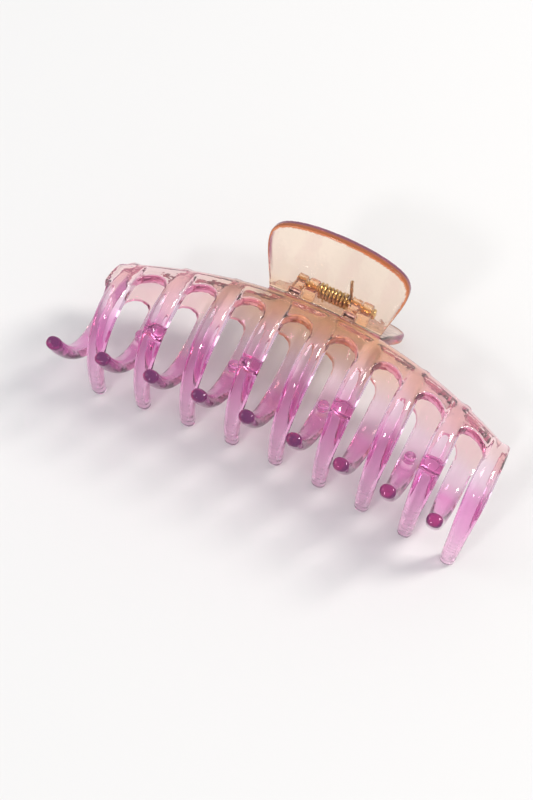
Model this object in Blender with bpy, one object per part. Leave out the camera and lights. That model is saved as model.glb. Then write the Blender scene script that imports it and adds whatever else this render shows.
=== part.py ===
"""Large claw clip: two identical clear jaws on a headed pin, closed by a torsion spring.

The clip lies on its side, on the rim of the lower handle and the end tips of the upper teeth.
Shapes are laid out in clip coordinates, in millimetres: x along the clip, u from the teeth
towards the handles, n from the lower jaw towards the upper jaw. The pin axis has n = 0.
"""
from math import acos, atan2, cos, hypot, pi, radians, sin, sqrt

import bmesh
import bpy
from mathutils import Vector

# --- driving dimensions, millimetres and degrees ---
TEETH = 9
PITCH = 15.0                # tooth spacing on one jaw
STAGGER = PITCH / 4.0       # each jaw's teeth are shifted so that the two rows interlock
HALF_SPAN = 60.0            # reference half length for the arch of the spine
SPINE_ARCH = 13.0           # fall of the spine's top edge at HALF_SPAN
TIP_ARCH = 4.2              # fall of the line of tips at HALF_SPAN
ROOT_HALF_WIDTH = 3.05      # of a tooth, along x
CROWN_INSET = 0.3           # teeth start this far below the top edge of the web
TIP_DOME = 0.55             # height of the dome at a tip, against the tooth's half depth
TOOTH_SQUARE = 0.9          # 1 is an elliptical section, less is squarer
TIP_STEPS = ((0.6, 0.86), (0.94, 0.5))      # along the dome, and how wide it still is
WEB_INNER = 1.25            # web surface inside the centre line, less at the thin top edge
WEB_FADE = 0.4              # the web is flush with the teeth, and sinks by this at its corners
SLOT_TOP = 9.2              # web height above the crown of each slot
SLOT_HALF = PITCH / 2.0 - ROOT_HALF_WIDTH + 0.3
LEFT_OVERHANG = 5.2         # web beyond the centre of the first tooth
RIGHT_OVERHANG = 2.9        # web beyond the centre of the last tooth

HANDLE_LEAN = 60.0          # from the mid-plane of the clip
HANDLE_ROOT = (-0.9, 4.5)   # u, n of the foot of the handle
HANDLE_OUT = 1.0            # plate surface outside its reference plane
HANDLE_IN = 2.1             # plate surface inside it
HANDLE_TOP = 27.6           # height of the plate on its centre line
HANDLE_WIDEST = 22.3        # half width of the plate where it is widest
EDGE_SOFT = 0.45            # chamfer round the plate
PIN_U = 6.6
BORE_RADIUS = 1.3
BORE_OVERRUN = 2.0          # the cutter passes the outer knuckle by this
KNUCKLE_RADIUS = 2.5
KNUCKLE_OUTER = (9.15, 12.5)
KNUCKLE_INNER = (5.5, 8.85)
LUG_TOP = (2.0, -0.6)       # height up the plate and offset where a knuckle's arm meets it
LUG_FOOT = ((-4.4, 7.2), (-5.4, 7.0))       # u, n where the arm runs into the spine
PIN_END = 12.8
PIN_TIP = ((0.0, 0.8), (0.2, 1.0))          # along from the left end, radius
PIN_HEAD = ((0.0, 1.0), (0.0, 1.65), (0.65, 1.65), (1.03, 1.25))

WIRE_RADIUS = 0.55
COIL_RADIUS = 2.0
COIL_HALF_LENGTH = 4.75
HALF_TURNS = 4
LEG_HEIGHT = 13.0           # height up the handle at which a spring leg bears
LEG_GAP = 0.3
LEG_ASIDE = 0.25            # a leg ends this far beyond the last coil, along the pin

PEG_RADIUS = 1.9
PEG_LENGTH = 7.4            # from the tooth's centre line
PEG_DEPTH = 27.0            # below the top edge of the spine
PEG_SPAN = 4.0              # a peg's seat is the middle of the line's points this near to it
PEG_OUTLINE = ((0.0, 1.0), (PEG_LENGTH - 0.6, 1.0), (PEG_LENGTH, 0.68))

LIE_TILT = 7.98             # the handles lie higher than the teeth by this angle

# centre line of a middle tooth, (u, n)
TOOTH_LINE = (
    (-1.4, 4.6), (-4.6, 7.7), (-9.0, 10.3), (-14.0, 12.1), (-19.5, 12.9), (-25.0, 12.3),
    (-30.2, 9.9), (-34.8, 5.8), (-38.4, 0.6), (-41.0, -5.6), (-42.7, -12.4), (-43.7, -19.0),
)
# half width along x and half depth across the curve, at each point of the centre line
TOOTH_SIZES = (
    (3.05, 0.7), (3.15, 1.7), (3.3, 2.15), (3.4, 2.3), (3.45, 2.35), (3.4, 2.35),
    (3.25, 2.3), (3.0, 2.25), (2.75, 2.2), (2.6, 2.15), (2.5, 2.1), (2.4, 2.05),
)
# half outline of the handle, (x, height up the plate)
HANDLE_HALF = (
    (18.4, -0.6), (19.3, 3.5), (20.6, 8.5), (21.8, 13.5), (22.3, 17.5), (21.9, 20.6),
    (20.2, 23.2), (17.2, 25.0), (12.5, 26.4), (6.5, 27.3),
)

WEB_COLUMNS = (-1.0, -0.92, -0.72, -0.4, 0.0, 0.4, 0.72, 0.92, 1.0)     # across a slot
WEB_ROWS = 3
SHARP_ANGLE = 38.0
PLASTIC = ((0.93, 0.62, 0.72), 0.08, 0.0, 0.9)      # colour, roughness, metal, clearness
BRASS = ((0.80, 0.62, 0.28), 0.25, 1.0, 0.0)

TOOTH_SIDES = 8
FACET_GROWTH = 1.03         # makes up for the flats of the eight-sided section
COIL_STEPS = 12
WIRE_SIDES = 6
ROUND_SIDES = 20
PEG_SIDES = 12


def spline(points, per_span):
    """Catmull-Rom through the points, per_span steps between each pair."""
    ends = [tuple(2 * a - b for a, b in zip(points[0], points[1]))]
    ends += list(points)
    ends += [tuple(2 * a - b for a, b in zip(points[-1], points[-2]))]
    out = []
    for i in range(1, len(ends) - 2):
        for k in range(per_span):
            t = k / per_span
            row = []
            for a, b, c, d in zip(ends[i - 1], ends[i], ends[i + 1], ends[i + 2]):
                row.append(0.5 * (2 * b + (c - a) * t + (2 * a - 5 * b + 4 * c - d) * t * t
                                  + (3 * b - a - 3 * c + d) * t ** 3))
            out.append(tuple(row))
    out.append(tuple(points[-1]))
    return out


def arch(x, depth):
    """Shift in u at station x, for a point at the given depth below the top edge."""
    part = min(1.0, max(0.0, depth / -TOOTH_LINE[-1][0]))
    q = (x / HALF_SPAN) ** 2
    return -(SPINE_ARCH * (1.0 - part) + TIP_ARCH * part) * q


def line_at(x, line):
    """The tooth's centre line at station x, with unit normals: (u, n, normal u, normal n)."""
    pts = [(u + arch(x, -u), n) for u, n in line]
    out = []
    for i, (u, n) in enumerate(pts):
        a = pts[max(0, i - 1)]
        b = pts[min(len(pts) - 1, i + 1)]
        du = b[0] - a[0]
        dn = b[1] - a[1]
        size = hypot(du, dn)
        out.append((u, n, dn / size, -du / size))
    return out


def loft(name, rings, tip=None):
    """Closed mesh through equal rings of (x, u, n) points, its far end flat or pointed."""
    bm = bmesh.new()
    rows = [[bm.verts.new(p) for p in ring] for ring in rings]
    count = len(rings[0])
    for low, high in zip(rows, rows[1:]):
        for k in range(count):
            j = (k + 1) % count
            bm.faces.new((low[k], low[j], high[j], high[k]))
    bm.faces.new(rows[0])
    if tip is None:
        bm.faces.new(rows[-1])
    else:
        top = bm.verts.new(tip)
        for k in range(count):
            bm.faces.new((rows[-1][k], rows[-1][(k + 1) % count], top))
    bmesh.ops.recalc_face_normals(bm, faces=bm.faces)
    mesh = bpy.data.meshes.new(name)
    bm.to_mesh(mesh)
    bm.free()
    item = bpy.data.objects.new(name, mesh)
    bpy.context.scene.collection.objects.link(item)
    return item


def tooth(x):
    """One curved tooth: a rounded bar swept along the centre line, with a domed tip."""
    rows = line_at(x, TOOTH_LINE)
    rings = []
    for (u, n, pu, pn), (wide, deep) in zip(rows, TOOTH_SIZES):
        if not rings:
            u -= CROWN_INSET * pn
            n += CROWN_INSET * pu
        rings.append(section(x, u, n, pu, pn, wide, deep))
    u, n, pu, pn = rows[-1]
    wide, deep = TOOTH_SIZES[-1]
    dome = deep * TIP_DOME
    for step, shrink in TIP_STEPS:
        rings.append(section(x, u - pn * dome * step, n + pu * dome * step, pu, pn,
                             wide * shrink, deep * shrink))
    return loft("tooth", rings, (x, u - pn * dome, n + pu * dome))


def section(x, u, n, pu, pn, wide, deep):
    """Rounded ring of a tooth about (u, n), square to its centre line."""
    ring = []
    for k in range(TOOTH_SIDES):
        a = 2 * pi * (k + 0.5) / TOOTH_SIDES
        ca = cos(a)
        sa = sin(a)
        across = abs(ca) ** TOOTH_SQUARE * (1 if ca > 0 else -1) * wide * FACET_GROWTH
        out = abs(sa) ** TOOTH_SQUARE * (1 if sa > 0 else -1) * deep * FACET_GROWTH
        ring.append((x + across, u + pu * out, n + pn * out))
    return ring


def web(stations):
    """Arched band flush with the backs of the teeth, its lower edge scalloped between them."""
    first = stations[0] - LEFT_OVERHANG
    last = stations[-1] + RIGHT_OVERHANG
    xs = {first: SLOT_TOP + SLOT_HALF, last: SLOT_TOP + SLOT_HALF}
    for a, b in zip(stations, stations[1:]):
        mid = (a + b) / 2.0
        for part in WEB_COLUMNS:
            drop = SLOT_HALF * (1.0 - sqrt(1.0 - part * part))
            xs[mid + part * SLOT_HALF] = SLOT_TOP + drop
    rings = []
    table = [line + size for line, size in zip(spline(TOOTH_LINE, 4), spline(TOOTH_SIZES, 4))]
    for x in sorted(xs):
        shown = [row for row in table if row[0] >= -xs[x]]
        shown = [shown[k * (len(shown) - 1) // WEB_ROWS] for k in range(WEB_ROWS + 1)]
        outer = []
        inner = []
        for (u, n, pu, pn), row in zip(line_at(x, [row[:2] for row in shown]), shown):
            fade = min(1.0, max(0.0, (-row[0] - SLOT_TOP) / SLOT_HALF))
            out = row[3] - WEB_FADE * fade
            outer.append((x, u + pu * out, n + pn * out))
            back = min(WEB_INNER, row[3])
            inner.append((x, u - pu * back, n - pn * back))
        rings.append(outer + inner[::-1])
    return loft("web", rings)


def on_handle(height, out):
    """(u, n) of a point on the upper handle, out from its middle plane."""
    c = cos(radians(HANDLE_LEAN))
    s = sin(radians(HANDLE_LEAN))
    return (HANDLE_ROOT[0] + height * c - out * s, HANDLE_ROOT[1] + height * s + out * c)


def handle():
    """Thumb plate: a thick flat plate with softened edges."""
    half = list(HANDLE_HALF)
    outline = half + [(0.0, HANDLE_TOP)] + [(-x, h) for x, h in half[::-1]]
    inside = []
    for x, h in outline:
        inside.append((x * (1.0 - EDGE_SOFT / HANDLE_WIDEST),
                       h - EDGE_SOFT * max(0.0, h) / HANDLE_TOP))
    rings = []
    for points, out in ((inside, HANDLE_OUT), (outline, HANDLE_OUT - EDGE_SOFT),
                        (outline, -HANDLE_IN + EDGE_SOFT), (inside, -HANDLE_IN)):
        rings.append([(x,) + on_handle(h, out) for x, h in points])
    return loft("handle", rings)


def hull(points):
    """Convex outline of 2-D points."""
    pts = sorted(points)
    rows = []
    for order in (pts, pts[::-1]):
        row = []
        for p in order:
            while len(row) > 1:
                ax = row[-1][0] - row[-2][0]
                ay = row[-1][1] - row[-2][1]
                if ax * (p[1] - row[-2][1]) - ay * (p[0] - row[-2][0]) > 0:
                    break
                row.pop()
            row.append(p)
        rows.append(row[:-1])
    return rows[0] + rows[1]


def disc(radius):
    """Circle of (u, n) points about the pin axis."""
    turn = 2 * pi / ROUND_SIDES
    return [(PIN_U + radius * cos(turn * k), radius * sin(turn * k)) for k in range(ROUND_SIDES)]


def lug(x0, x1):
    """Knuckle barrel with the arm that joins it to the spine and the foot of the handle."""
    outline = hull(disc(KNUCKLE_RADIUS) + [on_handle(*LUG_TOP)] + list(LUG_FOOT))
    return loft("lug", [[(x0, u, n) for u, n in outline], [(x1, u, n) for u, n in outline]])


def bore():
    """Cutter for the pin hole."""
    ring = disc(BORE_RADIUS)
    reach = KNUCKLE_OUTER[1] + BORE_OVERRUN
    item = loft("bore", [[(-reach, u, n) for u, n in ring], [(reach, u, n) for u, n in ring]])
    item.hide_render = True
    item.display_type = "WIRE"
    return item


def peg(x):
    """Round grip peg standing inwards from the middle of a tooth, square to it."""
    rows = line_at(x, [p for p in TOOTH_LINE if abs(p[0] + PEG_DEPTH) < PEG_SPAN])
    u = sum(row[0] for row in rows) / len(rows)
    n = sum(row[1] for row in rows) / len(rows)
    pu, pn = rows[0][2], rows[0][3]
    rings = []
    for along, r in PEG_OUTLINE:
        rings.append(ring_of_peg(x, u - pu * along, n - pn * along, pu, pn, PEG_RADIUS * r))
    return loft("peg", rings)


def ring_of_peg(x, u, n, pu, pn, radius):
    """Circle about (u, n), square to the direction (pu, pn)."""
    ring = []
    for k in range(PEG_SIDES):
        a = 2 * pi * (k + 0.5) / PEG_SIDES
        out = radius * sin(a)
        ring.append((x + radius * cos(a), u + pn * out, n - pu * out))
    return ring


def merge(item, parts, cutters):
    """Unite the parts with item and cut the cutters, leaving one closed body."""
    for part in parts + cutters:
        step = item.modifiers.new(part.name, "BOOLEAN")
        step.operation = "DIFFERENCE" if part in cutters else "UNION"
        step.solver = "EXACT"
        step.object = part
    bpy.context.view_layer.update()
    graph = bpy.context.evaluated_depsgraph_get()
    mesh = bpy.data.meshes.new_from_object(item.evaluated_get(graph))
    item.modifiers.clear()
    item.data = mesh
    for part in parts + cutters:
        bpy.data.objects.remove(part)


def jaw(name):
    """One whole jaw in the upper position."""
    stations = [(k - (TEETH - 1) / 2.0) * PITCH + STAGGER for k in range(TEETH)]
    item = web(stations)
    item.name = name
    parts = [tooth(x) for x in stations]
    parts.append(handle())
    parts.append(lug(-KNUCKLE_OUTER[1], -KNUCKLE_OUTER[0]))
    parts.append(lug(KNUCKLE_INNER[0], KNUCKLE_INNER[1]))
    parts += [peg(x) for x in stations[1::2]]
    merge(item, parts, [bore()])
    return item


def pin():
    """Straight pin with a domed head at the right end."""
    profile = [(x - PIN_END, r) for x, r in PIN_TIP] + [(PIN_END + x, r) for x, r in PIN_HEAD]
    rings = [[(x, u, n) for u, n in disc(r)] for x, r in profile]
    return loft("hinge_pin", rings)


def spring():
    """Close-wound torsion spring with one straight leg bearing on each handle."""
    end = on_handle(LEG_HEIGHT, -(HANDLE_IN + LEG_GAP + WIRE_RADIUS))
    du = end[0] - PIN_U
    far = hypot(du, end[1])
    leave = atan2(end[1], du) - acos(COIL_RADIUS / far)
    total = 2 * pi * HALF_TURNS + leave
    steps = 2 * HALF_TURNS * COIL_STEPS
    path = []
    for i in range(-steps // 2, steps // 2 + 1):
        part = 2.0 * i / steps
        a = total * part
        path.append(Vector((COIL_HALF_LENGTH * part, PIN_U + COIL_RADIUS * cos(a),
                            COIL_RADIUS * sin(a))))
    reach = COIL_HALF_LENGTH + LEG_ASIDE
    path.append(Vector((reach, end[0], end[1])))
    path.insert(0, Vector((-reach, end[0], -end[1])))
    rings = []
    side = None
    for i, p in enumerate(path):
        ahead = (path[min(i + 1, len(path) - 1)] - path[max(i - 1, 0)]).normalized()
        if side is None:
            side = ahead.orthogonal().normalized()
        side = (side - ahead * side.dot(ahead)).normalized()
        other = ahead.cross(side)
        rings.append([tuple(p + WIRE_RADIUS * (side * cos(2 * pi * k / WIRE_SIDES)
                                               + other * sin(2 * pi * k / WIRE_SIDES)))
                      for k in range(WIRE_SIDES)])
    return loft("torsion_spring", rings)


def place(item):
    """Clip coordinates in millimetres to the lying pose in metres, about the same origin."""
    c = cos(radians(LIE_TILT))
    s = sin(radians(LIE_TILT))
    for v in item.data.vertices:
        x, u, n = v.co
        v.co = (0.001 * x, 0.001 * (u * c - n * s), 0.001 * (u * s + n * c))


def box(items):
    """Lowest and highest corner of the items in world coordinates."""
    pts = [v.co for item in items for v in item.data.vertices]
    low = [min(p[k] for p in pts) for k in range(3)]
    high = [max(p[k] for p in pts) for k in range(3)]
    return low, high


def finish(item, colour, rough, metal, clear):
    """Material and smooth shading."""
    mat = bpy.data.materials.new(item.name + "_material")
    mat.use_nodes = True
    shader = mat.node_tree.nodes["Principled BSDF"]
    shader.inputs["Base Color"].default_value = colour + (1.0,)
    shader.inputs["Roughness"].default_value = rough
    shader.inputs["Metallic"].default_value = metal
    shader.inputs["Transmission Weight"].default_value = clear
    item.data.materials.clear()
    item.data.materials.append(mat)
    for face in item.data.polygons:
        face.use_smooth = True
        face.material_index = 0
    item.data.set_sharp_from_angle(angle=radians(SHARP_ANGLE))


def main():
    for item in list(bpy.data.objects):
        bpy.data.objects.remove(item)
    upper = jaw("upper_jaw")
    lower = bpy.data.objects.new("lower_jaw", upper.data.copy())
    bpy.context.scene.collection.objects.link(lower)
    for v in lower.data.vertices:
        v.co = (-v.co.x, v.co.y, -v.co.z)
    items = [lower, upper, pin(), spring()]
    for item in items:
        place(item)
    low, high = box(items)
    for item, looks in zip(items, (PLASTIC, PLASTIC, BRASS, BRASS)):
        for v in item.data.vertices:
            v.co.x -= (low[0] + high[0]) / 2.0
            v.co.y -= (low[1] + high[1]) / 2.0
            v.co.z -= low[2]
        finish(item, *looks)


main()
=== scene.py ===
"""Clear claw clip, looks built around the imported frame. Clip coordinates are in millimetres:
x along the clip, u from the teeth towards the handles, n from the lower jaw to the upper jaw."""
from math import acos, atan2, cos, hypot, pi, radians, sin, sqrt

import bmesh
import bpy
from mathutils import Euler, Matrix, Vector

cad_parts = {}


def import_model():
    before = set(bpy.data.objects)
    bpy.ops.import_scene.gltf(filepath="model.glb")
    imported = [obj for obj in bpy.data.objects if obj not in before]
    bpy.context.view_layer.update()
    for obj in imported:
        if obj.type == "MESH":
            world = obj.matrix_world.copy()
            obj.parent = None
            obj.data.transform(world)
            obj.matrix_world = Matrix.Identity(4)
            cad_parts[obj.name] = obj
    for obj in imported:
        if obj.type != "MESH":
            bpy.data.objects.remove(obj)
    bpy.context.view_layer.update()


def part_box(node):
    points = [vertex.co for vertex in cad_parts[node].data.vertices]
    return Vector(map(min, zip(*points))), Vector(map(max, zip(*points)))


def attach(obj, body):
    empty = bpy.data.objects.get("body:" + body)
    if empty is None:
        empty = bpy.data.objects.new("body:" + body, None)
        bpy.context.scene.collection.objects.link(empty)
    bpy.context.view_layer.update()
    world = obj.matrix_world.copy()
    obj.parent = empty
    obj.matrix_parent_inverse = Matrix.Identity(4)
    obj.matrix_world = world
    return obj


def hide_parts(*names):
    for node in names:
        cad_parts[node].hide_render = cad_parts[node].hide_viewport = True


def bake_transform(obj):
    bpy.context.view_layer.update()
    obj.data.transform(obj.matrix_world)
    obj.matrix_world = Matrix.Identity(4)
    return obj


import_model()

# --- the clip's dimensions, millimetres and degrees ---
TEETH = 9
PITCH = 15.0                # tooth spacing on one jaw
STAGGER = PITCH / 4.0       # each jaw's teeth are shifted so that the two rows interlock
HALF_SPAN = 60.0            # reference half length for the arch of the spine
SPINE_ARCH = 13.0           # fall of the spine's top edge at HALF_SPAN
TIP_ARCH = 4.2              # fall of the line of tips at HALF_SPAN
ROOT_HALF_WIDTH = 3.05      # of a tooth, along x
TIP_DOME = 0.55             # height of the dome at a tip, against the tooth's half depth
DOME_FULLNESS = 0.8         # less is a blunter dome
TOOTH_SQUARE = 0.9          # 1 is an elliptical section, less is squarer
WEB_INNER = 1.25            # web surface inside the centre line, less at the thin top edge
WEB_FADE = 0.4              # it is flush with the teeth, and sinks by this beside the slots
SLOT_TOP = 9.2              # web height above the crown of each slot
SLOT_HALF = PITCH / 2.0 - ROOT_HALF_WIDTH + 0.3
LEFT_OVERHANG = 5.2         # web beyond the centre of the first tooth
RIGHT_OVERHANG = 2.9        # web beyond the centre of the last tooth

HANDLE_LEAN = 60.0          # from the mid-plane of the clip
HANDLE_ROOT = (-0.9, 4.5)   # u, n of the foot of the handle
HANDLE_OUT = 1.0            # plate surface outside its reference plane
HANDLE_IN = 2.1             # plate surface inside it
HANDLE_TOP = 27.6           # height of the plate on its centre line
HANDLE_WIDE = 22.0          # half width that the softened edge is worked out from
EDGE_SOFT = 0.45            # chamfer round the plate
PIN_U = 6.6
BORE_RADIUS = 1.2
BORE_OVERRUN = 2.0          # the cutter passes the outer knuckle by this
KNUCKLE_RADIUS = 2.5
KNUCKLE_OUTER = (9.15, 12.5)
KNUCKLE_INNER = (5.5, 8.85)
LUG_TOP = (2.0, -0.6)       # height up the plate and offset where a knuckle's arm meets it
LUG_FOOT = [(-4.4, 7.2), (-5.4, 7.0)]       # u, n where the arm runs into the spine
PIN_END = 12.8
# (distance along, radius) from the shank's left end, then from its right end
PIN_TIP = ((0.0, 0.82), (0.06, 0.93), (0.2, 1.0))
PIN_HEAD = ((0.0, 1.0), (0.0, 1.55), (0.08, 1.63), (0.5, 1.63), (0.78, 1.5), (0.95, 1.2),
            (1.03, 0.7))

WIRE_RADIUS = 0.54
COIL_RADIUS = 2.0
COIL_HALF_LENGTH = 4.75
HALF_TURNS = 4              # whole coils on either side of the middle
LEG_HEIGHT = 13.0           # height up the handle at which a spring leg bears
LEG_GAP = 0.3               # between a leg and the plate
LEG_ASIDE = 0.25            # a leg ends this far beyond the last coil, along the pin

PEG_RADIUS = 1.9
PEG_LENGTH = 7.4            # from the tooth's centre line
PEG_DEPTH = 27.0            # below the top edge of the spine
PEG_SPAN = 4.0              # a peg's seat is the middle of the line's points this near to it
# distance along a peg, and its share of the radius there
PEG_OUTLINE = ((0.0, 1.0), (PEG_LENGTH - 0.6, 1.0), (PEG_LENGTH - 0.2, 0.88),
               (PEG_LENGTH, 0.65))

LIE_TILT = 7.98             # the handles lie higher than the teeth by this angle

# centre line of a middle tooth, (u, n)
TOOTH_LINE = (
    (-1.4, 4.6), (-4.6, 7.7), (-9.0, 10.3), (-14.0, 12.1), (-19.5, 12.9), (-25.0, 12.3),
    (-30.2, 9.9), (-34.8, 5.8), (-38.4, 0.6), (-41.0, -5.6), (-42.7, -12.4), (-43.7, -19.0),
)
TOOTH_DEPTH = -TOOTH_LINE[-1][0]            # from the spine's top edge to the tip
# half width along x and half depth across the curve, at each point of the centre line
TOOTH_SIZES = (
    (3.05, 0.7), (3.15, 1.7), (3.3, 2.15), (3.4, 2.3), (3.45, 2.35), (3.4, 2.35),
    (3.25, 2.3), (3.0, 2.25), (2.75, 2.2), (2.6, 2.15), (2.5, 2.1), (2.4, 2.05),
)
# half outline of the handle, (x, height up the plate)
HANDLE_HALF = (
    (18.4, -0.6), (19.3, 3.5), (20.6, 8.5), (21.8, 13.5), (22.3, 17.5), (21.9, 20.6),
    (20.2, 23.2), (17.2, 25.0), (12.5, 26.4), (6.5, 27.3),
)
EDGE = list(HANDLE_HALF) + [(0.0, HANDLE_TOP)]

# --- how finely the shapes are made ---
VOXEL = 0.36
MELT = {"factor": 0.5, "iterations": 5}     # smoothing that rounds the inner corners
TOOTH_SPAN_STEPS = 4
TOOTH_SIDES = 28
DOME_STEPS = 6
DOME_SLICES = 14            # of half a turn
WEB_SPAN_STEPS = 12
WEB_ROWS = 15
SLOT_STEPS = 24
HANDLE_SPAN_STEPS = 5
COIL_STEPS = 36
LEG_STEPS = 8
WIRE_SIDES = 14
ROUND_SIDES = 48
PEG_SIDES = 28
WIRE_SHARP = 50.0
PIN_SHARP = 40.0


def within(share):
    """The share, kept from 0 to 1."""
    return min(1.0, max(0.0, share))


def spline(points, per_span):
    """Catmull-Rom through the points, per_span steps between each pair."""
    ends = [tuple(2 * a - b for a, b in zip(points[0], points[1]))]
    ends += list(points)
    ends += [tuple(2 * a - b for a, b in zip(points[-1], points[-2]))]
    out = []
    for i in range(1, len(ends) - 2):
        for k in range(per_span):
            t = k / per_span
            row = []
            for a, b, c, d in zip(ends[i - 1], ends[i], ends[i + 1], ends[i + 2]):
                row.append(0.5 * (2 * b + (c - a) * t + (2 * a - 5 * b + 4 * c - d) * t * t
                                  + (3 * b - a - 3 * c + d) * t ** 3))
            out.append(tuple(row))
    out.append(tuple(points[-1]))
    return out


def arch(x, depth):
    """Shift in u at station x, for a point at the given depth below the top edge."""
    part = within(depth / TOOTH_DEPTH)
    q = (x / HALF_SPAN) ** 2
    return -(SPINE_ARCH * (1.0 - part) + TIP_ARCH * part) * q


def line_at(x, line):
    """The centre line at station x, with unit normals: (u, n, normal u, normal n)."""
    pts = [(u + arch(x, -u), n) for u, n in line]
    out = []
    for i, (u, n) in enumerate(pts):
        a = pts[max(0, i - 1)]
        b = pts[min(len(pts) - 1, i + 1)]
        du = b[0] - a[0]
        dn = b[1] - a[1]
        size = hypot(du, dn)
        out.append((u, n, dn / size, -du / size))
    return out


def loft(name, rings, tip=None):
    """Closed mesh through equal rings of (x, u, n) points, its far end flat or pointed."""
    bm = bmesh.new()
    rows = [[bm.verts.new(p) for p in ring] for ring in rings]
    count = len(rings[0])
    for low, high in zip(rows, rows[1:]):
        for k in range(count):
            j = (k + 1) % count
            bm.faces.new((low[k], low[j], high[j], high[k]))
    bm.faces.new(rows[0])
    if tip is None:
        bm.faces.new(rows[-1])
    else:
        top = bm.verts.new(tip)
        for k in range(count):
            bm.faces.new((rows[-1][k], rows[-1][(k + 1) % count], top))
    bmesh.ops.recalc_face_normals(bm, faces=bm.faces)
    mesh = bpy.data.meshes.new(name)
    bm.to_mesh(mesh)
    bm.free()
    item = bpy.data.objects.new(name, mesh)
    bpy.context.scene.collection.objects.link(item)
    return item


def section(x, u, n, pu, pn, wide, deep):
    """Rounded ring of a tooth about (u, n), square to its centre line."""
    ring = []
    for k in range(TOOTH_SIDES):
        a = 2 * pi * (k + 0.5) / TOOTH_SIDES
        ca = cos(a)
        sa = sin(a)
        across = abs(ca) ** TOOTH_SQUARE * (1 if ca > 0 else -1) * wide
        out = abs(sa) ** TOOTH_SQUARE * (1 if sa > 0 else -1) * deep
        ring.append((x + across, u + pu * out, n + pn * out))
    return ring


def tooth(x):
    """One curved tooth: a rounded bar swept along the centre line, with a domed tip."""
    rows = line_at(x, spline(TOOTH_LINE, TOOTH_SPAN_STEPS))
    rings = []
    for (u, n, pu, pn), (wide, deep) in zip(rows, spline(TOOTH_SIZES, TOOTH_SPAN_STEPS)):
        rings.append(section(x, u, n, pu, pn, wide, deep))
    u, n, pu, pn = rows[-1]
    wide, deep = TOOTH_SIZES[-1]
    dome = deep * TIP_DOME
    for k in range(1, DOME_STEPS + 1):
        a = k * pi / DOME_SLICES
        shrink = cos(a) ** DOME_FULLNESS
        rings.append(section(x, u - pn * dome * sin(a), n + pu * dome * sin(a), pu, pn,
                             wide * shrink, deep * shrink))
    return loft("tooth", rings, (x, u - pn * dome, n + pu * dome))


def web(stations):
    """Arched band flush with the backs of the teeth, its lower edge scalloped between them."""
    first = stations[0] - LEFT_OVERHANG
    last = stations[-1] + RIGHT_OVERHANG
    xs = {first: SLOT_TOP + SLOT_HALF, last: SLOT_TOP + SLOT_HALF}
    for a, b in zip(stations, stations[1:]):
        mid = (a + b) / 2.0
        for k in range(SLOT_STEPS + 1):
            part = sin((k / SLOT_STEPS - 0.5) * pi)
            drop = SLOT_HALF * (1.0 - sqrt(max(0.0, 1.0 - part * part)))
            xs[mid + part * SLOT_HALF] = SLOT_TOP + drop
    rings = []
    lines = spline(TOOTH_LINE, WEB_SPAN_STEPS)
    table = [line + size for line, size in zip(lines, spline(TOOTH_SIZES, WEB_SPAN_STEPS))]
    for x in sorted(xs):
        shown = [row for row in table if row[0] >= -xs[x]]
        shown = [shown[k * (len(shown) - 1) // WEB_ROWS] for k in range(WEB_ROWS + 1)]
        outer = []
        inner = []
        for (u, n, pu, pn), row in zip(line_at(x, [row[:2] for row in shown]), shown):
            out = row[3] - WEB_FADE * within((-row[0] - SLOT_TOP) / SLOT_HALF)
            outer.append((x, u + pu * out, n + pn * out))
            back = min(WEB_INNER, row[3])
            inner.append((x, u - pu * back, n - pn * back))
        rings.append(outer + inner[::-1])
    return loft("web", rings)


def on_handle(height, out):
    """(u, n) of a point on the upper handle, out from its reference plane."""
    c = cos(radians(HANDLE_LEAN))
    s = sin(radians(HANDLE_LEAN))
    return (HANDLE_ROOT[0] + height * c - out * s, HANDLE_ROOT[1] + height * s + out * c)


def handle():
    """Thumb plate: a thick flat plate with softened edges."""
    half = spline(EDGE, HANDLE_SPAN_STEPS)
    outline = half + [(-x, h) for x, h in half[:-1][::-1]]
    inside = []
    for x, h in outline:
        inside.append((x * (1.0 - EDGE_SOFT / HANDLE_WIDE),
                       h - EDGE_SOFT * max(0.0, h) / HANDLE_TOP))
    rings = []
    for points, out in ((inside, HANDLE_OUT), (outline, HANDLE_OUT - EDGE_SOFT),
                        (outline, -HANDLE_IN + EDGE_SOFT), (inside, -HANDLE_IN)):
        rings.append([(x,) + on_handle(h, out) for x, h in points])
    return loft("handle", rings)


def hull(points):
    """Convex outline of 2-D points."""
    pts = sorted(points)
    rows = []
    for order in (pts, pts[::-1]):
        row = []
        for p in order:
            while len(row) > 1:
                ax = row[-1][0] - row[-2][0]
                ay = row[-1][1] - row[-2][1]
                if ax * (p[1] - row[-2][1]) - ay * (p[0] - row[-2][0]) > 0:
                    break
                row.pop()
            row.append(p)
        rows.append(row[:-1])
    return rows[0] + rows[1]


def disc(radius):
    """Circle of (u, n) points about the pin axis."""
    return [(PIN_U + radius * cos(2 * pi * k / ROUND_SIDES), radius * sin(2 * pi * k / ROUND_SIDES))
            for k in range(ROUND_SIDES)]


def lug(x0, x1):
    """Knuckle barrel with the arm that joins it to the spine and the foot of the handle."""
    outline = hull(disc(KNUCKLE_RADIUS) + [on_handle(*LUG_TOP)] + LUG_FOOT)
    return loft("lug", [[(x0, u, n) for u, n in outline], [(x1, u, n) for u, n in outline]])


def bore():
    """Cutter for the pin hole."""
    ring = disc(BORE_RADIUS)
    reach = KNUCKLE_OUTER[1] + BORE_OVERRUN
    return loft("bore", [[(-reach, u, n) for u, n in ring], [(reach, u, n) for u, n in ring]])


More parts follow.
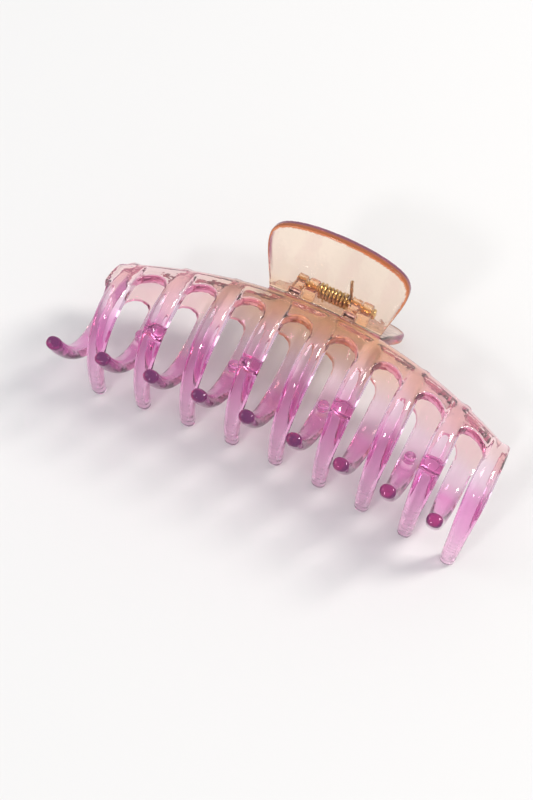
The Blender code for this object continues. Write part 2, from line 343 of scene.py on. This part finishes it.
def peg_seat(x):
    """Where a peg stands on the centre line of the tooth at x: (x, u, n, normal u, normal n)."""
    rows = line_at(x, [p for p in TOOTH_LINE if abs(p[0] + PEG_DEPTH) < PEG_SPAN])
    u = sum(row[0] for row in rows) / len(rows)
    n = sum(row[1] for row in rows) / len(rows)
    return x, u, n, rows[0][2], rows[0][3]


def peg(x):
    """Round grip peg standing inwards from the middle of a tooth, square to it."""
    x, u, n, pu, pn = peg_seat(x)
    rings = []
    for along, r in PEG_OUTLINE:
        ring = []
        for k in range(PEG_SIDES):
            a = 2 * pi * k / PEG_SIDES
            out = PEG_RADIUS * r * sin(a)
            ring.append((x + PEG_RADIUS * r * cos(a), u - pu * along + pn * out,
                         n - pn * along - pu * out))
        rings.append(ring)
    return loft("peg", rings)


STATIONS = [(k - (TEETH - 1) / 2.0) * PITCH + STAGGER for k in range(TEETH)]
PEG_SEATS = [peg_seat(x) for x in STATIONS[1::2]]


def baked(item, mods):
    """Apply a list of (type, settings) modifiers to item's mesh."""
    for kind, settings in mods:
        step = item.modifiers.new(kind, kind)
        for key, value in settings.items():
            setattr(step, key, value)
    bpy.context.view_layer.update()
    graph = bpy.context.evaluated_depsgraph_get()
    mesh = bpy.data.meshes.new_from_object(item.evaluated_get(graph))
    item.modifiers.clear()
    old = item.data
    item.data = mesh
    bpy.data.meshes.remove(old)


def jaw(name):
    """One whole jaw in the upper position: every feature melted into one moulding."""
    parts = [web(STATIONS), handle()]
    parts += [tooth(x) for x in STATIONS]
    parts.append(lug(-KNUCKLE_OUTER[1], -KNUCKLE_OUTER[0]))
    parts.append(lug(KNUCKLE_INNER[0], KNUCKLE_INNER[1]))
    parts += [peg(seat[0]) for seat in PEG_SEATS]
    bm = bmesh.new()
    for part in parts:
        bm.from_mesh(part.data)
        bpy.data.objects.remove(part)
    mesh = bpy.data.meshes.new(name)
    bm.to_mesh(mesh)
    bm.free()
    item = bpy.data.objects.new(name, mesh)
    bpy.context.scene.collection.objects.link(item)
    baked(item, [("REMESH", {"mode": "VOXEL", "voxel_size": VOXEL, "adaptivity": 0.0})])
    cutter = bore()
    baked(item, [("BOOLEAN", {"operation": "DIFFERENCE", "solver": "EXACT", "object": cutter}),
                 ("SMOOTH", MELT)])
    bpy.data.objects.remove(cutter)
    return item


def pin():
    """Straight pin with a domed head at the right end."""
    profile = [(x - PIN_END, r) for x, r in PIN_TIP] + [(PIN_END + x, r) for x, r in PIN_HEAD]
    return loft("pin_metal", [[(x, u, n) for u, n in disc(r)] for x, r in profile])


def spring():
    """Close-wound torsion spring with one straight leg bearing on each handle."""
    end = on_handle(LEG_HEIGHT, -(HANDLE_IN + LEG_GAP + WIRE_RADIUS))
    du = end[0] - PIN_U
    leave = atan2(end[1], du) - acos(COIL_RADIUS / hypot(du, end[1]))
    total = 2 * pi * HALF_TURNS + leave
    steps = 2 * HALF_TURNS * COIL_STEPS
    path = []
    for i in range(-steps // 2, steps // 2 + 1):
        part = 2.0 * i / steps
        a = total * part
        path.append(Vector((COIL_HALF_LENGTH * part, PIN_U + COIL_RADIUS * cos(a),
                            COIL_RADIUS * sin(a))))
    reach = COIL_HALF_LENGTH + LEG_ASIDE
    high = Vector((reach, end[0], end[1]))
    low = Vector((-reach, end[0], -end[1]))
    first = path[0]
    last = path[-1]
    path += [last.lerp(high, k / LEG_STEPS) for k in range(1, LEG_STEPS + 1)]
    path = [low.lerp(first, k / LEG_STEPS) for k in range(LEG_STEPS)] + path
    rings = []
    side = None
    for i, p in enumerate(path):
        ahead = (path[min(i + 1, len(path) - 1)] - path[max(i - 1, 0)]).normalized()
        if side is None:
            side = ahead.orthogonal().normalized()
        side = (side - ahead * side.dot(ahead)).normalized()
        other = ahead.cross(side)
        rings.append([tuple(p + WIRE_RADIUS * (side * cos(2 * pi * k / WIRE_SIDES)
                                               + other * sin(2 * pi * k / WIRE_SIDES)))
                      for k in range(WIRE_SIDES)])
    return loft("spring_wire", rings)


# --- where clip coordinates lie in the frame ---
MM = 0.001                  # metres
METRE = 1000.0              # millimetres
TILT_C = cos(radians(LIE_TILT))
TILT_S = sin(radians(LIE_TILT))
pin_low, pin_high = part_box("hinge_pin")
SHIFT_X = METRE * pin_low[0] + PIN_END
SHIFT_Y = METRE / 2.0 * (pin_low[1] + pin_high[1]) - PIN_U * TILT_C
SHIFT_Z = METRE / 2.0 * (pin_low[2] + pin_high[2]) - PIN_U * TILT_S


def world(x, u, n):
    """Clip coordinates in millimetres to the frame in metres."""
    return Vector((MM * (x + SHIFT_X), MM * (u * TILT_C - n * TILT_S + SHIFT_Y),
                   MM * (u * TILT_S + n * TILT_C + SHIFT_Z)))


def place(item, sharp=None):
    """Move item into the frame and shade it smooth."""
    for v in item.data.vertices:
        v.co = world(*v.co)
    for face in item.data.polygons:
        face.use_smooth = True
    if sharp is not None:
        item.data.set_sharp_from_angle(angle=radians(sharp))


# --- colours of the plastic, painted shade and reflection among them: red, green, blue and how clear it is ---
# down a tooth: depth below the top edge of the spine as a share of the tooth, colour
# the orange at the spine's top is partly the plastic's own amber and partly a painted reflection of
# orange surroundings
BODY_AND_REFLECTION_STOPS = (
    (-0.02, (1.0, 0.81, 0.53, 0.98)), (0.10, (1.0, 0.81, 0.55, 0.98)),
    (0.20, (1.0, 0.88, 0.76, 0.98)), (0.32, (0.99, 0.91, 0.96, 0.98)),
    (0.48, (0.98, 0.84, 0.95, 0.98)), (0.64, (0.91, 0.44, 0.77, 0.97)),
    (0.82, (0.92, 0.50, 0.81, 0.97)), (1.0, (0.98, 0.78, 0.94, 0.97)),
)
END_PINK = (1.0, 0.85, 0.90, 0.985)
# painted shade: a dark rose line along the spine's top edge, where shade under the spine shows
# through
EDGE_SHADE_ROSE = (0.92, 0.34, 0.40, 0.80)
# painted shade: coloured lines round the slots' edges; their orange towards the middle is a painted
# reflection of orange surroundings
SLOT_SHADE_ORANGE = (0.93, 0.42, 0.16, 0.80)
SLOT_SHADE_PINK = (0.82, 0.27, 0.46, 0.80)
# painted shade: deeper colour on the lower jaw's teeth ends, tips and spine end only
STUB_SHADE_PINK = (0.76, 0.22, 0.54, 0.86)
TIP_SHADE_MAGENTA = (0.58, 0.10, 0.46, 0.80)
HANDLE_PEACH = (1.0, 0.935, 0.76, 0.985)
# painted shade: the coloured dark that light takes on through the plate's rounded edge
RIM_SHADE_ORANGE = (0.78, 0.22, 0.07, 0.55)
RIM_SHADE_PURPLE = (0.46, 0.15, 0.26, 0.60)
PEG_PURPLE = (0.80, 0.24, 0.60, 0.86)

# --- where each colour goes, in millimetres ---
FAR = 99.0
PLATE_FROM = 0.3            # height up the plate from which a point counts as the handle's
PLATE_THICK = 3.2           # it lies no further from the plate's reference plane
PLATE_HALF = 23.5
PLATE_LOW_U = -1.5
PLATE_FADE = 5.0            # height over which the spine's colour turns into the plate's
PLATE_SKIN = 0.15           # depth of the plate's outer face
# the rim's colour is painted edge shade
RIM_ON_FACE = 0.7           # reach of the rim's colour on that face
RIM_EDGE = (0.6, 0.5)       # where the rim's colour starts to fade inwards, and over how much
RIM_TURN = 0.8              # the edge turns from orange to purple over this much thickness
RIM_FROM = (4.0, 8.0)       # height at which the rim's colour starts, and its fade
END_SPAN = 40.0             # half length at which the spine has its end colour
END_DEPTH = 0.35            # share of the tooth at which that colour has faded out
TOP_SLOPE = (0.72, -0.70)   # direction of the teeth's line where it ends at the top edge
TOP_BAND = (-0.45, 0.8)     # extent of the top edge's colour along that direction
TOP_FADE = 0.3
WEB_LINE = (10.4, 0.4)      # n of the teeth's line at the slots' crowns, and its slope there
WEB_LEAN = 0.38             # u against n, square to that line
SLOT_BAND = (-1.1, 0.7)     # extent of the colour round a slot's edge
SLOT_FADE = 0.5
SLOT_LOW_N = 3.0
SLOT_PINK_SPAN = 34.0       # half length at which the slots' edges are pink, not orange
# painted shade on the lower jaw's ends:
CAP_X = 61.0                # the lower spine's end beyond this is tinted
CAP_DEPTH = 0.2
CAP_SHARE = 0.7
STUB_N = -3.0               # the lower teeth are tinted below this
STUB_FADE = (-2.0, 7.0)     # n at which their pink starts, and its fade
TIP_FADE = (-11.0, 5.0)     # n at which the magenta of their tips starts, and its fade
PEG_HALF = (2.1, 2.3)       # half extent of a peg along x and across the tooth
PEG_FOOT = (2.2, 3.0)       # tinted stretch at a peg's foot, from the tooth's centre line
PEG_CAP = PEG_LENGTH - 1.0  # start of the tinted stretch at its end
LOWER_PEG_SHARE = 0.5


def blend_of(low, high, share):
    """Colour a share of the way from low to high."""
    share = within(share)
    return tuple(p + (q - p) * share for p, q in zip(low, high))


def mix_stops(stops, at):
    """Colour at a place along a list of (place, colour)."""
    if at <= stops[0][0]:
        return stops[0][1]
    for (a, low), (b, high) in zip(stops, stops[1:]):
        if at <= b:
            return blend_of(low, high, (at - a) / (b - a))
    return stops[-1][1]


def handle_place(u, n):
    """(height up the plate, distance out from its reference plane) of a point."""
    c = cos(radians(HANDLE_LEAN))
    s = sin(radians(HANDLE_LEAN))
    du = u - HANDLE_ROOT[0]
    dn = n - HANDLE_ROOT[1]
    return du * c + dn * s, dn * c - du * s


def edge_distance(x, h):
    """Distance of a point of the plate from its outline."""
    best = FAR
    for a, b in zip(EDGE, EDGE[1:]):
        dx = b[0] - a[0]
        dh = b[1] - a[1]
        t = within(((abs(x) - a[0]) * dx + (h - a[1]) * dh) / (dx * dx + dh * dh))
        best = min(best, hypot(abs(x) - a[0] - dx * t, h - a[1] - dh * t))
    return best


def plate_tint_and_rim_shade(x, h, out):
    """Colour of the plate: peach, its edge given painted shade, orange by the outer face and purple
    by the inner.
    """
    plain = blend_of(BODY_AND_REFLECTION_STOPS[0][1], HANDLE_PEACH, h / PLATE_FADE)
    near = edge_distance(x, h)
    if out > HANDLE_OUT - PLATE_SKIN and near > RIM_ON_FACE:
        return plain
    # painted edge shade round the plate's rim
    rim = blend_of(RIM_SHADE_PURPLE, RIM_SHADE_ORANGE, (out + RIM_TURN) / RIM_TURN)
    rim = blend_of(rim, plain, (near - RIM_EDGE[0]) / RIM_EDGE[1])
    return blend_of(plain, rim, (h - RIM_FROM[0]) / RIM_FROM[1])


def depth_share(x, u):
    """Depth below the spine's top edge as a share of the tooth: arch() solved for the depth."""
    q = (x / HALF_SPAN) ** 2
    return (-u - SPINE_ARCH * q) / (TOOTH_DEPTH - (SPINE_ARCH - TIP_ARCH) * q)


def slot_distance(x, depth, n):
    """How far below the edge of the nearest slot a point lies, less than 0 on the web."""
    across = (x - STATIONS[0]) % PITCH - PITCH / 2.0
    if abs(across) > SLOT_HALF or not STATIONS[0] < x < STATIONS[-1]:
        return FAR
    stand_off = n - WEB_LINE[0] - WEB_LINE[1] * (depth - SLOT_TOP)
    crown = SLOT_TOP + SLOT_HALF - sqrt(SLOT_HALF ** 2 - across ** 2)
    return depth + WEB_LEAN * stand_off - crown


def on_peg(x, u, n):
    """True at the tinted foot and end of a peg."""
    for seat_x, seat_u, seat_n, pu, pn in PEG_SEATS:
        du = u - seat_u
        dn = n - seat_n
        inward = -du * pu - dn * pn
        tinted = PEG_FOOT[0] < inward < PEG_FOOT[1] or inward > PEG_CAP
        beside = abs(x - seat_x) < PEG_HALF[0] and abs(du * pn - dn * pu) < PEG_HALF[1]
        if beside and tinted:
            return True
    return False


def lower_painted_shade(colour, x, part, n):
    """Deeper colour at the lower jaw's spine end, teeth ends and tips: painted shade, which the
    upper jaw of the same moulding doesn't get.
    """
    if x > CAP_X and part < CAP_DEPTH:
        colour = blend_of(colour, TIP_SHADE_MAGENTA, CAP_SHARE)
    if n < STUB_N:
        colour = blend_of(colour, STUB_SHADE_PINK, (STUB_FADE[0] - n) / STUB_FADE[1])
        colour = blend_of(colour, TIP_SHADE_MAGENTA, (TIP_FADE[0] - n) / TIP_FADE[1])
    return colour


def tint_and_shade(x, u, n, is_lower):
    """Colour of a jaw's plastic at a point, painted shade and reflection included, given in the
    upper jaw's clip coordinates.
    """
    h, out = handle_place(u, n)
    if h > PLATE_FROM and abs(out) < PLATE_THICK and abs(x) < PLATE_HALF and u > PLATE_LOW_U:
        return plate_tint_and_rim_shade(x, h, out)
    part = depth_share(x, u)
    colour = mix_stops(BODY_AND_REFLECTION_STOPS, part)
    ends = min(1.0, (x / END_SPAN) ** 2)
    colour = blend_of(colour, END_PINK, ends * within(1.0 - part / END_DEPTH))
    depth = part * TOOTH_DEPTH
    rise = -(depth + TOOTH_LINE[0][0]) * TOP_SLOPE[0] + (n - TOOTH_LINE[0][1]) * TOP_SLOPE[1]
    # painted shade line along the spine's top edge
    if TOP_BAND[0] < rise < TOP_BAND[1]:
        colour = blend_of(colour, EDGE_SHADE_ROSE, (rise - TOP_BAND[0]) / TOP_FADE)
    below = slot_distance(x, depth, n)
    # painted shade round each slot's edge, orange towards the middle as a painted reflection
    if n > SLOT_LOW_N and SLOT_BAND[0] < below < SLOT_BAND[1]:
        edge = blend_of(SLOT_SHADE_ORANGE, SLOT_SHADE_PINK, abs(x) / SLOT_PINK_SPAN)
        colour = blend_of(colour, edge, (-SLOT_BAND[0] - abs(below)) / SLOT_FADE)
    # painted shade at the lower jaw's ends
    if is_lower:
        colour = lower_painted_shade(colour, x, part, n)
    if on_peg(x, u, n):
        colour = blend_of(colour, PEG_PURPLE, LOWER_PEG_SHARE if is_lower else 1.0)
    return colour


def paint(item, flip, is_lower):
    """Store the plastic's colour with its painted shade and reflection, and in alpha its clearness,
    on every vertex.
    """
    layer = item.data.color_attributes.new("tint_and_shade", "FLOAT_COLOR", "POINT")
    for v, cell in zip(item.data.vertices, layer.data):
        cell.color = tint_and_shade(v.co.x * flip, v.co.y, v.co.z * flip, is_lower)


# --- materials ---
PLASTIC_ROUGH = 0.025
PLASTIC_IOR = 1.49
SOAK_COLOUR = (0.97, 0.56, 0.76, 1.0)       # what a thick stretch of the plastic lets through
SOAK_DENSITY = 62.0                         # per metre
GRAIN_SCALE = 420.0                         # per metre: the moulded surface's faint unevenness
GRAIN_DETAIL = 2.0
GRAIN_STRENGTH = 0.3
GRAIN_HEIGHT = 0.0002                       # metres
SPRING_BRASS = ((0.58, 0.40, 0.16), 0.16)   # colour, roughness
PIN_BRASS = ((0.74, 0.55, 0.27), 0.16)


def plastic(name):
    """Clear plastic tinted by the piece's colours, painted shade and reflection among them."""
    mat = bpy.data.materials.new(name)
    mat.use_nodes = True
    tree = mat.node_tree
    shader = tree.nodes["Principled BSDF"]
    shader.inputs["Roughness"].default_value = PLASTIC_ROUGH
    shader.inputs["IOR"].default_value = PLASTIC_IOR
    colour = tree.nodes.new("ShaderNodeVertexColor")
    colour.layer_name = "tint_and_shade"
    tree.links.new(colour.outputs["Color"], shader.inputs["Base Color"])
    tree.links.new(colour.outputs["Alpha"], shader.inputs["Transmission Weight"])
    where = tree.nodes.new("ShaderNodeTexCoord")
    grain = tree.nodes.new("ShaderNodeTexNoise")
    grain.inputs["Scale"].default_value = GRAIN_SCALE
    grain.inputs["Detail"].default_value = GRAIN_DETAIL
    tree.links.new(where.outputs["Object"], grain.inputs["Vector"])
    bump = tree.nodes.new("ShaderNodeBump")
    bump.inputs["Strength"].default_value = GRAIN_STRENGTH
    bump.inputs["Distance"].default_value = GRAIN_HEIGHT
    tree.links.new(grain.outputs[0], bump.inputs["Height"])
    tree.links.new(bump.outputs["Normal"], shader.inputs["Normal"])
    soak = tree.nodes.new("ShaderNodeVolumeAbsorption")
    soak.inputs["Color"].default_value = SOAK_COLOUR
    soak.inputs["Density"].default_value = SOAK_DENSITY
    tree.links.new(soak.outputs[0], tree.nodes["Material Output"].inputs["Volume"])
    return mat


def metal(name, colour, rough):
    """Bare bright metal."""
    mat = bpy.data.materials.new(name)
    mat.use_nodes = True
    shader = mat.node_tree.nodes["Principled BSDF"]
    shader.inputs["Base Color"].default_value = colour + (1.0,)
    shader.inputs["Metallic"].default_value = 1.0
    shader.inputs["Roughness"].default_value = rough
    return mat


# --- the pieces ---
upper = jaw("upper_jaw_plastic")
lower = bpy.data.objects.new("lower_jaw_plastic", upper.data.copy())
bpy.context.scene.collection.objects.link(lower)
for v in lower.data.vertices:
    v.co = (-v.co.x, v.co.y, -v.co.z)
paint(upper, 1, False)
paint(lower, -1, True)
place(upper)
place(lower)
wire = spring()
place(wire, WIRE_SHARP)
rod = pin()
place(rod, PIN_SHARP)

upper.data.materials.append(plastic("plastic_upper"))
lower.data.materials.append(plastic("plastic_lower"))
wire.data.materials.append(metal("spring_metal", *SPRING_BRASS))
rod.data.materials.append(metal("pin_metal_finish", *PIN_BRASS))

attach(upper, "upper")
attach(lower, "lower")
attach(rod, "lower")
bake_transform(wire)
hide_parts("upper_jaw")
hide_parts("lower_jaw")
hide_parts("hinge_pin")
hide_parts("torsion_spring")

# --- floor, light and camera, metres ---
FLOOR_HALF = 3.0
FLOOR_Z = -0.0004           # just below the clip
FLOOR_COLOUR = (0.80, 0.785, 0.77, 1)
FLOOR_ROUGH = 0.9
ROOM_COLOUR = (0.93, 0.96, 1.0, 1.0)
ROOM_STRENGTH = 0.72
LAMP_AIM = Vector((0, 0, 0.02))
LAMPS = (                   # name, place, diameter, power, colour
    ("key", (0.75, 0.55, 1.05), 0.40, 10.5, (1.0, 0.97, 0.93)),
    ("fill", (-0.9, -0.3, 1.0), 0.6, 1.6, (0.95, 0.97, 1.0)),
    ("strip", (-0.25, -0.85, 0.95), 0.18, 2.2, (1.0, 1.0, 1.0)),
)
CAMERA_PLACE = (0.064, -0.16433, 0.40935)
CAMERA_TURN = (22.956, -0.963, 26.747)      # degrees
CAMERA_LENS = 63.69
CAMERA_SENSOR = 36.0
CAMERA_NEAR = 0.01
BOUNCES = 40                # light passes many faces of the clear teeth

scene = bpy.context.scene
corners = [(x, y, FLOOR_Z) for x, y in ((-1, -1), (1, -1), (1, 1), (-1, 1))]
corners = [(x * FLOOR_HALF, y * FLOOR_HALF, z) for x, y, z in corners]
floor_mesh = bpy.data.meshes.new("floor")
floor_mesh.from_pydata(corners, [], [(0, 1, 2, 3)])
floor = bpy.data.objects.new("floor", floor_mesh)
scene.collection.objects.link(floor)
pale = bpy.data.materials.new("floor_pale")
pale.use_nodes = True
pale_shader = pale.node_tree.nodes["Principled BSDF"]
pale_shader.inputs["Base Color"].default_value = FLOOR_COLOUR
pale_shader.inputs["Roughness"].default_value = FLOOR_ROUGH
floor_mesh.materials.append(pale)

room = bpy.data.worlds.new("room")
scene.world = room
room.use_nodes = True
room.node_tree.nodes["Background"].inputs["Color"].default_value = ROOM_COLOUR
room.node_tree.nodes["Background"].inputs["Strength"].default_value = ROOM_STRENGTH

for name, where, size, power, colour in LAMPS:
    data = bpy.data.lights.new(name, "AREA")
    data.shape = "DISK"
    data.size = size
    data.energy = power
    data.color = colour
    lamp = bpy.data.objects.new(name, data)
    lamp.location = where
    lamp.rotation_euler = (LAMP_AIM - Vector(where)).to_track_quat("-Z", "Y").to_euler()
    scene.collection.objects.link(lamp)

view = bpy.data.cameras.new("camera")
view.sensor_width = CAMERA_SENSOR
view.lens = CAMERA_LENS
view.clip_start = CAMERA_NEAR
camera = bpy.data.objects.new("camera", view)
camera.location = CAMERA_PLACE
camera.rotation_euler = Euler([radians(turn) for turn in CAMERA_TURN])
scene.collection.objects.link(camera)
scene.camera = camera

scene.view_settings.view_transform = "Standard"
scene.view_settings.exposure = 0.0
scene.cycles.max_bounces = BOUNCES
scene.cycles.transmission_bounces = BOUNCES
scene.cycles.transparent_max_bounces = BOUNCES
scene.cycles.caustics_refractive = True
scene.cycles.caustics_reflective = True
